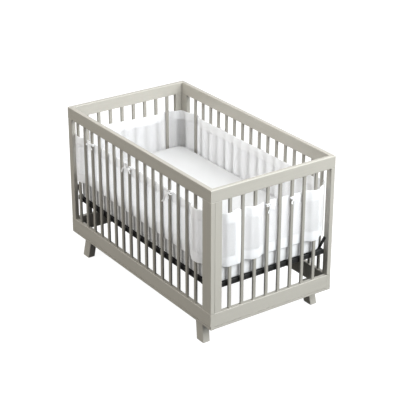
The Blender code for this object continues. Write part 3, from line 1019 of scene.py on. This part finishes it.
class CRIB_OT_add_slats(bpy.types.Operator):
    """Adds the slats of every side, with rounded edges"""

    bl_idname = "crib.add_slats"
    bl_label = "Add Slats"

    def execute(self, context):
        sizes = context.scene.crib_sizes
        # The slats get the frame's paint darkened as painted shade
        material = satin_paint("z", "slats", context.scene.crib_finishes.slat_painted_shade)
        outer = (FRAME - sizes.slat_depth) / 2
        half = sizes.slat_width / 2
        low, high = FOOT_HEIGHT + BOTTOM_RAIL - 0.004, TOP_RAIL_BASE + 0.004
        for name in ORDER:
            side = SIDES[name]
            shape = bmesh.new()
            for index in range(side.count):
                middle = side.slat(index)
                block(
                    shape,
                    side.point(middle - half, outer, low),
                    side.point(middle + half, outer + sizes.slat_depth, high),
                )
            ease(shape, edges_along(shape.edges, (0, 0, 1)), sizes.slat_round, 4)
            keep_piece(f"{name}_slats", shape, material, weigh=True)
        return {"FINISHED"}


class CRIB_OT_add_posts(bpy.types.Operator):
    """Adds the stiles that make the corner posts"""

    bl_idname = "crib.add_posts"
    bl_label = "Add Posts"

    def execute(self, context):
        sizes = context.scene.crib_sizes
        material = satin_paint("z")
        names = [f"{row}_{kind}_stile" for row in ("front", "back") for kind in ("wide", "narrow")]
        for node in [*names, "right_end_stile", "left_end_stile"]:
            shape = copy_of(node)
            upright = edges_along(shape.edges, (0, 0, 1))
            ease(shape, upright, 0.0022, 3)
            level = [
                e
                for e in shape.edges
                if abs(e.verts[0].co.z - e.verts[1].co.z) < 0.0001 and len(e.link_faces) == 2
            ]
            ease(shape, level, sizes.joint_round, 1)
            keep_piece(f"{node}_painted", shape, material, [node], weigh=True)
        return {"FINISHED"}


class CRIB_OT_add_feet(bpy.types.Operator):
    """Adds the four splayed feet"""

    bl_idname = "crib.add_feet"
    bl_label = "Add Feet"

    def execute(self, context):
        material = satin_paint("z")
        for row in ("front", "back"):
            for end in ("left", "right"):
                node = f"foot_{row}_{end}"
                shape = copy_of(node)
                sloping = [e for e in shape.edges if abs(e.verts[0].co.z - e.verts[1].co.z) > 0.05]
                ease(shape, sloping, 0.005, 4)
                rim = [
                    e
                    for e in shape.edges
                    if max(v.co.z for v in e.verts) < 0.0005 and len(e.link_faces) == 2
                ]
                ease(shape, rim, 0.0015, 2)
                keep_piece(f"{node}_painted", shape, material, [node], weigh=True)
        return {"FINISHED"}


class CRIB_OT_add_support(bpy.types.Operator):
    """Adds the steel bars, deck and straps that carry the mattress"""

    bl_idname = "crib.add_support"
    bl_label = "Add Mattress Support"

    def execute(self, context):
        material = black_steel()
        for node in sorted(n for n in frame["nodes"] if n.startswith("carrier_")):
            shape = copy_of(node)
            radius = 0.0012 if "strap" in node else 0.0020
            ease(shape, list(shape.edges), radius, 2)
            if "strap" in node:
                self.add_bolts(shape, node)
            keep_piece(f"{node}_coated", shape, material, [node], weigh=True)
        return {"FINISHED"}

    def add_bolts(self, shape, node):
        """A domed bolt near each end of a strap."""
        low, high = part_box(node)
        inward = -1.0 if low.y > 0 else 1.0
        leans = 1.0 if (shape_top_x(shape) > (low.x + high.x) / 2) else -1.0
        for end in (-1, 1):
            x = (low.x + high.x) / 2 + leans * end * ((high.x - low.x) / 2 - 0.012)
            z = (low.z + high.z) / 2 + end * ((high.z - low.z) / 2 - 0.011)
            y = high.y if inward > 0 else low.y
            head = bmesh.ops.create_cone(
                shape,
                cap_ends=True,
                segments=20,
                radius1=0.0060,
                radius2=0.0042,
                depth=0.0030,
                matrix=Matrix.Translation((x, y + inward * 0.0015, z))
                @ Matrix.Rotation(-inward * math.radians(90), 4, "X"),
            )["verts"]
            bmesh.ops.recalc_face_normals(
                shape, faces=list({f for v in head for f in v.link_faces})
            )


def shape_top_x(shape):
    top = max(v.co.z for v in shape.verts)
    high = [v.co.x for v in shape.verts if v.co.z > top - 0.002]
    return sum(high) / len(high)


class CRIB_OT_add_mattress(bpy.types.Operator):
    """Adds the mattress in its fitted sheet"""

    bl_idname = "crib.add_mattress"
    bl_label = "Add Mattress"

    def execute(self, context):
        crown = context.scene.crib_sizes.crown
        low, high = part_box("mattress")
        long, wide = high.x - low.x, high.y - low.y
        shape = bmesh.new()
        levels = [(0.0, MATTRESS_EDGE * 1.4)]
        for step in range(1, 6):
            angle = math.radians(90) * step / 5
            levels.append(
                (MATTRESS_EDGE * (1 - math.cos(angle)), MATTRESS_EDGE * (1 - math.sin(angle)))
            )
        tall = high.z - low.z - crown
        for share in (0.25, 0.5, 0.75):
            levels.append((MATTRESS_EDGE + share * (tall - 2 * MATTRESS_EDGE), -0.0009))
        for step in range(6):
            angle = math.radians(90) * step / 5
            levels.append(
                (
                    tall - MATTRESS_EDGE * (1 - math.sin(angle)),
                    MATTRESS_EDGE * (1 - math.cos(angle)),
                )
            )
        for inset in (0.030, 0.050, 0.075, 0.105, 0.140, 0.180, 0.225, 0.270, 0.310, 0.338):
            rise = crown * (1 - math.exp(-(inset - MATTRESS_EDGE) / 0.09))
            levels.append((tall + rise, inset))
        rings = []
        for height, inset in levels:
            ring = []
            for x, y, corner in self.outline(long / 2 - inset, wide / 2 - inset, inset):
                point = Vector((x, y, low.z + height))
                ring.append(shape.verts.new(self.settled(point, height / tall, inset, corner)))
            rings.append(ring)
        for lower, upper in zip(rings, rings[1:]):
            loops = []
            for ring in (lower, upper):
                for a, b in zip(ring, [*ring[1:], ring[0]]):
                    loops.append(shape.edges.get((a, b)) or shape.edges.new((a, b)))
            bmesh.ops.bridge_loops(shape, edges=loops)
        bmesh.ops.contextual_create(shape, geom=rings[0])
        bmesh.ops.contextual_create(shape, geom=rings[-1])
        bmesh.ops.recalc_face_normals(shape, faces=shape.faces)
        piece = keep_piece(
            "mattress_in_sheet", shape, mattress_cover(), ["mattress"], smooth=70.0
        )
        return {"FINISHED"}

    def outline(self, half_long, half_wide, inset):
        """Points round a rectangle with round corners, with a mark of how near a corner is."""
        radius = max(MATTRESS_CORNER - inset, 0.006)
        out = []
        runs = 22, 12
        for quarter, (x, y) in enumerate(((1, 1), (-1, 1), (-1, -1), (1, -1))):
            centre = Vector((x * (half_long - radius), y * (half_wide - radius)))
            for step in range(13):
                angle = math.radians(90) * (quarter + step / 12)
                out.append(
                    (
                        centre.x + radius * math.cos(angle),
                        centre.y + radius * math.sin(angle),
                        math.sin(math.pi * step / 12),
                    )
                )
            run = runs[quarter % 2]
            ax, ay, _ = out[-1]
            if quarter % 2 == 0:
                bx, by = -ax, ay
            else:
                bx, by = ax, -ay
            for step in range(1, run):
                t = step / run
                out.append((ax + t * (bx - ax), ay + t * (by - ay), 0.0))
        return out

    def settled(self, point, level, inset, corner):
        """Soft dips and small gathers where the sheet is drawn round the corners."""
        soft = noise.noise(point * 4.0) * 0.0016
        drawn = noise.noise(Vector((point.x * 13.0, point.y * 13.0, 4.0))) * 0.0008
        if level >= 0.98:
            return point + Vector((0.0, 0.0, min(0.0, soft + drawn - 0.0005)))
        gather = corner * 0.0010 * math.sin(140.0 * (point.x - point.y)) * math.sin(math.pi * level)
        away = Vector((point.x, point.y, 0.0)).normalized()
        return point + away * (gather + 0.5 * min(0.0, soft))


class LINER_OT_add_panels(bpy.types.Operator):
    """Adds the liner's two panels: mesh, bindings and end bands"""

    bl_idname = "liner.add_panels"
    bl_label = "Add Liner Panels"

    def execute(self, context):
        mesh_cloth, trim = spacer_mesh(), brushed_trim()
        band = context.scene.liner_sizes.band
        banded = brushed_trim("liner_band", (0.0042, band - 0.0042))
        for name, route, seed in (
            ("front_panel", front_route(), 2.0),
            ("wrap_panel", wrap_route(), 21.0),
        ):
            panel = Panel(name, route, seed)
            parts = [
                self.add_mesh(context, panel, mesh_cloth),
                self.add_binding(context, panel, "top", trim),
                self.add_binding(context, panel, "bottom", trim),
                self.add_band(context, panel, "first", banded),
                self.add_band(context, panel, "second", banded),
            ]
            self.declare(context, panel, parts)
        return {"FINISHED"}

    def add_mesh(self, context, panel, material):
        sizes = context.scene.liner_sizes
        tall = LINER_TOP - LINER_BOTTOM
        low, high = sizes.binding / tall, 1 - sizes.binding / tall
        start, end = sizes.band - 0.002, panel.length - sizes.band + 0.002

        def spot(x, y):
            return start + x * (end - start), low + y * (high - low)

        shape = bmesh.new()
        columns = round((end - start) / CLOTH_STEP)
        cloth_grid(
            shape,
            columns,
            26,
            lambda x, y: panel.place(*spot(x, y)),
            lambda x, y: (spot(x, y)[0], spot(x, y)[1] * tall),
        )
        piece = keep_piece(
            f"{panel.name}_mesh_cloth", shape, material, [f"{panel.name}_mesh"], smooth=80.0
        )
        solid = piece.modifiers.new("Thickness", "SOLIDIFY")
        solid.thickness = sizes.mesh_thickness
        solid.offset = 0.0
        return piece

    def add_binding(self, context, panel, edge, material):
        sizes = context.scene.liner_sizes
        tall = LINER_TOP - LINER_BOTTOM
        start, end = sizes.band + 0.0003, panel.length - sizes.band - 0.0003
        profile = binding_profile(sizes.binding, 0.0025)

        def spot(x, y):
            u = start + x * (end - start)
            lift, level = along_profile(profile, y)
            pucker = noise.noise(Vector((u * 90.0, level * 40.0, panel.seed)))
            lift *= 1 + 0.10 * pucker
            share = 1 - (sizes.binding - level) / tall if edge == "top" else (sizes.binding - level) / tall
            return u, share, lift, level

        shape = bmesh.new()
        cloth_grid(
            shape,
            round((end - start) / CLOTH_STEP),
            len(profile) - 1,
            lambda x, y: panel.place(*spot(x, y)[:3]),
            lambda x, y: (spot(x, y)[0], spot(x, y)[3]),
        )
        close_tube(shape)
        node = f"{panel.name}_{edge}_binding"
        return keep_piece(f"{node}_cloth", shape, material, [node], smooth=60.0)

    def add_band(self, context, panel, which, material):
        sizes = context.scene.liner_sizes
        width = sizes.band
        start = 0.0 if which == "first" else panel.length - width
        half_profile = (
            (0.0016, 0.0),
            (0.0021, 0.0012),
            (0.0021, 0.0030),
            (0.0016, 0.0042),
            (0.0021, 0.0054),
            (0.0022, 0.5 * width),
            (0.0021, width - 0.0054),
            (0.0016, width - 0.0042),
            (0.0021, width - 0.0030),
            (0.0021, width - 0.0012),
            (0.0014, width),
        )
        outer = [(-lift, level) for lift, level in half_profile]
        profile = [*outer, *reversed(half_profile), outer[0]]

        def spot(x, y):
            lift, level = along_profile(profile, y)
            return start + level, x, lift, level

        tall = LINER_TOP - LINER_BOTTOM
        shape = bmesh.new()
        cloth_grid(
            shape,
            56,
            len(profile) - 1,
            lambda x, y: panel.place(*spot(x, y)[:3]),
            lambda x, y: (x * tall, spot(x, y)[3]),
        )
        close_tube(shape)
        node = f"{panel.name}_{which}_end_band"
        return keep_piece(f"{node}_cloth", shape, material, [node], smooth=60.0)

    def declare(self, context, panel, parts):
        mesh_piece, top, bottom, first, second = parts
        sides = ("front",) if panel.name == "front_panel" else ("right", "back", "left")
        ties = [
            piece
            for piece in context.scene.objects
            for side in sides
            if piece.name.endswith(f"_{side}_ribbon")
        ]
        for piece, sewn_on in ((top, ties), (bottom, ())):
            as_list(sewn_on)


class LINER_OT_add_ties(bpy.types.Operator):
    """Adds the ribbon ties, each round a slat and knotted in a bow"""

    bl_idname = "liner.add_ties"
    bl_label = "Add Ties"

    def execute(self, context):
        material = satin_ribbon()
        for number, row in enumerate(TIES, start=1):
            self.add_tie(context, number, row, material)
        return {"FINISHED"}

    def add_tie(self, context, number, row, material):
        name, slat, (aside, above), loops, tails = row
        sizes, width = context.scene.crib_sizes, context.scene.liner_sizes.ribbon
        side = SIDES[name]
        middle = side.slat(slat)
        rise = Panel.rises(name, middle)[0]
        height = LINER_TOP + rise - TIE_DROP + above
        front = (FRAME - sizes.slat_depth) / 2
        shape = bmesh.new()

        def world(along, out, up):
            return side.point(middle + along, front - out, height + up)

        def beside(along, out, up):
            return world(along + aside, out, up)

        self.add_wrap(shape, sizes, width, world)
        for k, (angle, length) in enumerate(loops):
            self.add_loop(shape, beside, math.radians(angle), length, width, number + 3 * k)
        for k, (angle, length) in enumerate(tails):
            self.add_tail(shape, beside, math.radians(angle), length, width, number + k)
        self.add_knot(shape, beside, width)
        bmesh.ops.remove_doubles(shape, verts=shape.verts, dist=0.00001)
        node = f"tie_{number:02d}_{name}"
        piece = keep_piece(f"{node}_ribbon", shape, material, [node], smooth=70.0)
        solid = piece.modifiers.new("Thickness", "SOLIDIFY")
        solid.thickness = 0.0006
        solid.offset = 0.0

    def add_strip(self, shape, path, across, width, slant=0.0):
        """A ribbon along a path, with its width direction at each point."""
        last = len(path) - 1
        lengths = [0.0]
        for a, b in zip(path, path[1:]):
            lengths.append(lengths[-1] + (b - a).length)

        def place(x, y):
            i = round(x * last)
            point = path[i] + across[i] * (y - 0.5) * width
            if i == last and slant:
                point += (path[-1] - path[-2]).normalized() * slant * (y - 0.5)
            return point

        cloth_grid(shape, last, 3, place, lambda x, y: (y, lengths[round(x * last)]))

    def add_wrap(self, shape, sizes, width, world):
        """The ribbon round the slat, behind the bow."""
        half, deep = sizes.slat_width / 2 + 0.0008, sizes.slat_depth
        path, across = [], []
        corner = 0.0045
        for quarter, (x, y) in enumerate(((1, 1), (-1, 1), (-1, -1), (1, -1))):
            for step in range(6):
                angle = math.radians(90) * (quarter + step / 5)
                along = x * (half - corner) + corner * math.cos(angle)
                out = y * (deep / 2 + 0.0008 - corner) + corner * math.sin(angle) - deep / 2
                path.append(world(along, out, 0.0))
                across.append(Vector((0.0, 0.0, 1.0)))
        path.append(path[0].copy())
        across.append(across[0])
        self.add_strip(shape, path, across, width)

    def add_loop(self, shape, world, angle, length, width, seed):
        """One loop of the bow: the ribbon bent round on edge, leaning a little."""
        path, across = [], []
        steps = 36
        lean = math.radians(14) * math.sin(seed * 1.7)
        for step in range(steps + 1):
            around = 2 * math.pi * step / steps
            reach = length / 2 * (1 - math.cos(around))
            full = 0.35 + 0.65 * reach / length
            spread = LOOP_SPREAD * length * math.sin(around) * full
            droop = -0.05 * reach * reach / length
            along = reach * math.cos(angle) - spread * math.sin(angle)
            up = reach * math.sin(angle) + spread * math.cos(angle) + droop
            middle = 0.0056 - 0.0010 * math.cos(around) + spread * math.sin(lean)
            path.append(world(along, middle, up))
            drawn = 0.45 + 0.45 * min(1.0, 2.2 * reach / length)
            way = Vector((-math.sin(angle) * math.sin(lean), 1.0, math.cos(angle) * math.sin(lean)))
            across.append((world(*way) - world(0, 0, 0)).normalized() * drawn)
        self.add_strip(shape, path, across, width)

    def add_tail(self, shape, world, angle, length, width, seed):
        """A free end, which curls a little and is cut on the slant."""
        bend = math.radians(16) * math.sin(seed * 2.3)
        controls = []
        for share, out in ((0.0, 0.0022), (0.25, 0.0046), (0.5, 0.0056), (0.75, 0.0040), (1.0, 0.0052)):
            turned = angle + bend * math.sin(math.pi * share)
            drop = -0.12 * length * share * share
            controls.append(
                Vector(
                    (
                        share * length * math.cos(turned),
                        out,
                        share * length * math.sin(turned) + drop,
                    )
                )
            )
        flat = smooth_through(controls, 6)
        path = [world(*spot) for spot in flat]
        across = []
        for i in range(len(path)):
            a, b = flat[max(i - 1, 0)], flat[min(i + 1, len(flat) - 1)]
            run = (b - a).normalized()
            twist = 0.55 * math.sin(2.2 * i / len(path) + seed)
            way = Vector((-run.z, 0.0, run.x)) * math.cos(twist) + Vector((0, 1, 0)) * math.sin(twist)
            share = i / (len(path) - 1)
            across.append((world(*way) - world(0, 0, 0)).normalized() * min(1.0, 0.5 + 2.5 * share))
        self.add_strip(shape, path, across, width, slant=0.005)

    def add_knot(self, shape, world, width):
        """The turn of ribbon drawn tight over the middle of the bow."""
        path, across = [], []
        for step in range(17):
            angle = 2 * math.pi * step / 16
            out = 0.0042 + 0.0040 * math.cos(angle)
            up = 0.0050 * math.sin(angle) * (1 + 0.12 * math.cos(2 * angle))
            path.append(world(0.0006 * math.sin(2 * angle), out, up))
            way = (world(1.0, 0.0, 0.12) - world(0, 0, 0)).normalized()
            across.append(way * (0.92 + 0.08 * math.cos(angle)))
        path[-1] = path[0].copy()
        self.add_strip(shape, path, across, width)


class CRIB_OT_set_stage(bpy.types.Operator):
    """Sets the floor, the lights, the surroundings and the camera"""

    bl_idname = "crib.set_stage"
    bl_label = "Set Stage"

    def execute(self, context):
        settings = context.scene.crib_stage
        self.add_floor(context)
        self.add_light(context, "key_light", (4.9, 1.6, 3.7), 4.4, settings.key, (0.94, 0.98, 1.0))
        self.add_light(
            context, "overhead_light", (0.2, 0.5, 4.6), 3.4, settings.overhead, (0.98, 0.99, 1.0)
        )
        self.add_light(context, "fill_light", (-1.5, -5.5, 3.2), 4.0, settings.fill, (1.0, 0.97, 0.90))
        self.set_world(context, settings)
        self.add_camera(context)
        context.scene.view_settings.view_transform = "Standard"
        return {"FINISHED"}

    def add_floor(self, context):
        shape = bmesh.new()
        bmesh.ops.create_grid(shape, x_segments=1, y_segments=1, size=14.0)
        mesh = bpy.data.meshes.new("floor")
        shape.to_mesh(mesh)
        shape.free()
        finish = Finish("pale_floor")
        finish.surface(
            base_color=(0.16, 0.16, 0.16),
            roughness=0.9,
            emission_color=(1.0, 1.0, 1.0),
            emission_strength=0.93,
        )
        mesh.materials.append(finish.material)
        floor = bpy.data.objects.new("floor", mesh)
        context.scene.collection.objects.link(floor)
        floor.visible_diffuse = False
        floor.visible_glossy = False

    def add_light(self, context, name, place, size, power, color):
        lamp = bpy.data.lights.new(name, "AREA")
        lamp.shape = "SQUARE"
        lamp.size = size
        lamp.energy = power
        lamp.color = color
        light = bpy.data.objects.new(name, lamp)
        context.scene.collection.objects.link(light)
        light.location = place
        aim = Vector((0.0, 0.0, 0.5)) - light.location
        light.rotation_euler = aim.to_track_quat("-Z", "Y").to_euler()

    def set_world(self, context, settings):
        """Bright above and dim below, and plain white where the camera sees it."""
        world = bpy.data.worlds.new("studio")
        world.use_nodes = True
        context.scene.world = world
        tree = world.node_tree
        nodes, links = tree.nodes, tree.links
        shown = nodes["Background"]
        room = nodes.new("ShaderNodeBackground")
        room.inputs["Color"].default_value = (1.0, 1.0, 1.0, 1.0)
        shown.inputs["Color"].default_value = (1.0, 1.0, 1.0, 1.0)
        shown.inputs["Strength"].default_value = 1.0
        coordinates = nodes.new("ShaderNodeTexCoord")
        parts = nodes.new("ShaderNodeSeparateXYZ")
        spread = nodes.new("ShaderNodeMapRange")
        spread.inputs["From Min"].default_value = 0.02
        spread.inputs["From Max"].default_value = 0.45
        spread.inputs["To Min"].default_value = settings.ground
        spread.inputs["To Max"].default_value = settings.sky
        sight = nodes.new("ShaderNodeLightPath")
        mixed = nodes.new("ShaderNodeMixShader")
        links.new(coordinates.outputs["Generated"], parts.inputs[0])
        links.new(parts.outputs["Z"], spread.inputs["Value"])
        links.new(spread.outputs["Result"], room.inputs["Strength"])
        links.new(sight.outputs["Is Camera Ray"], mixed.inputs["Fac"])
        links.new(room.outputs[0], mixed.inputs[1])
        links.new(shown.outputs[0], mixed.inputs[2])
        links.new(mixed.outputs[0], nodes["World Output"].inputs["Surface"])

    def add_camera(self, context):
        data = bpy.data.cameras.new("camera")
        data.sensor_width = 36.0
        data.lens = 118.46
        camera = bpy.data.objects.new("camera", data)
        context.scene.collection.objects.link(camera)
        camera.location = (5.28, -3.6183, 3.4074)
        across, rise = math.radians(55.371), math.radians(24.654)
        back = Vector(
            (
                math.sin(across) * math.cos(rise),
                -math.cos(across) * math.cos(rise),
                math.sin(rise),
            )
        )
        camera.rotation_euler = (-back).to_track_quat("-Z", "Y").to_euler()
        context.scene.camera = camera


class CRIB_PT_panel(bpy.types.Panel):
    """Lists the crib's sizes, finishes and pieces"""

    bl_idname = "CRIB_PT_panel"
    bl_label = "Crib with Mesh Liner"
    bl_space_type = "VIEW_3D"
    bl_region_type = "UI"
    bl_category = "Crib"

    def draw(self, context):
        scene = context.scene
        for group in (scene.crib_sizes, scene.liner_sizes, scene.crib_finishes, scene.crib_stage):
            box = self.layout.box()
            for name in group.bl_rna.properties.keys():
                if name not in ("rna_type", "name"):
                    box.prop(group, name)
        for operator in OPERATORS:
            self.layout.operator(operator.bl_idname)


OPERATORS = (
    CRIB_OT_add_rails,
    CRIB_OT_add_slats,
    CRIB_OT_add_posts,
    CRIB_OT_add_feet,
    CRIB_OT_add_support,
    CRIB_OT_add_mattress,
    LINER_OT_add_ties,
    LINER_OT_add_panels,
    CRIB_OT_set_stage,
)
GROUPS = {
    "crib_sizes": CribSizes,
    "liner_sizes": LinerSizes,
    "crib_finishes": Finishes,
    "crib_stage": StageSettings,
}


def register():
    for cls in (*GROUPS.values(), *OPERATORS, CRIB_PT_panel):
        bpy.utils.register_class(cls)
    for name, group in GROUPS.items():
        setattr(bpy.types.Scene, name, PointerProperty(type=group))


def unregister():
    for name in GROUPS:
        delattr(bpy.types.Scene, name)
    for cls in reversed((*GROUPS.values(), *OPERATORS, CRIB_PT_panel)):
        bpy.utils.unregister_class(cls)


def main():
    register()
    bpy.ops.crib.set_stage()
    bpy.ops.crib.add_rails()
    bpy.ops.crib.add_slats()
    bpy.ops.crib.add_posts()
    bpy.ops.crib.add_feet()
    bpy.ops.crib.add_support()
    bpy.ops.crib.add_mattress()
    bpy.ops.liner.add_ties()
    bpy.ops.liner.add_panels()


if __name__ == "__main__":
    main()
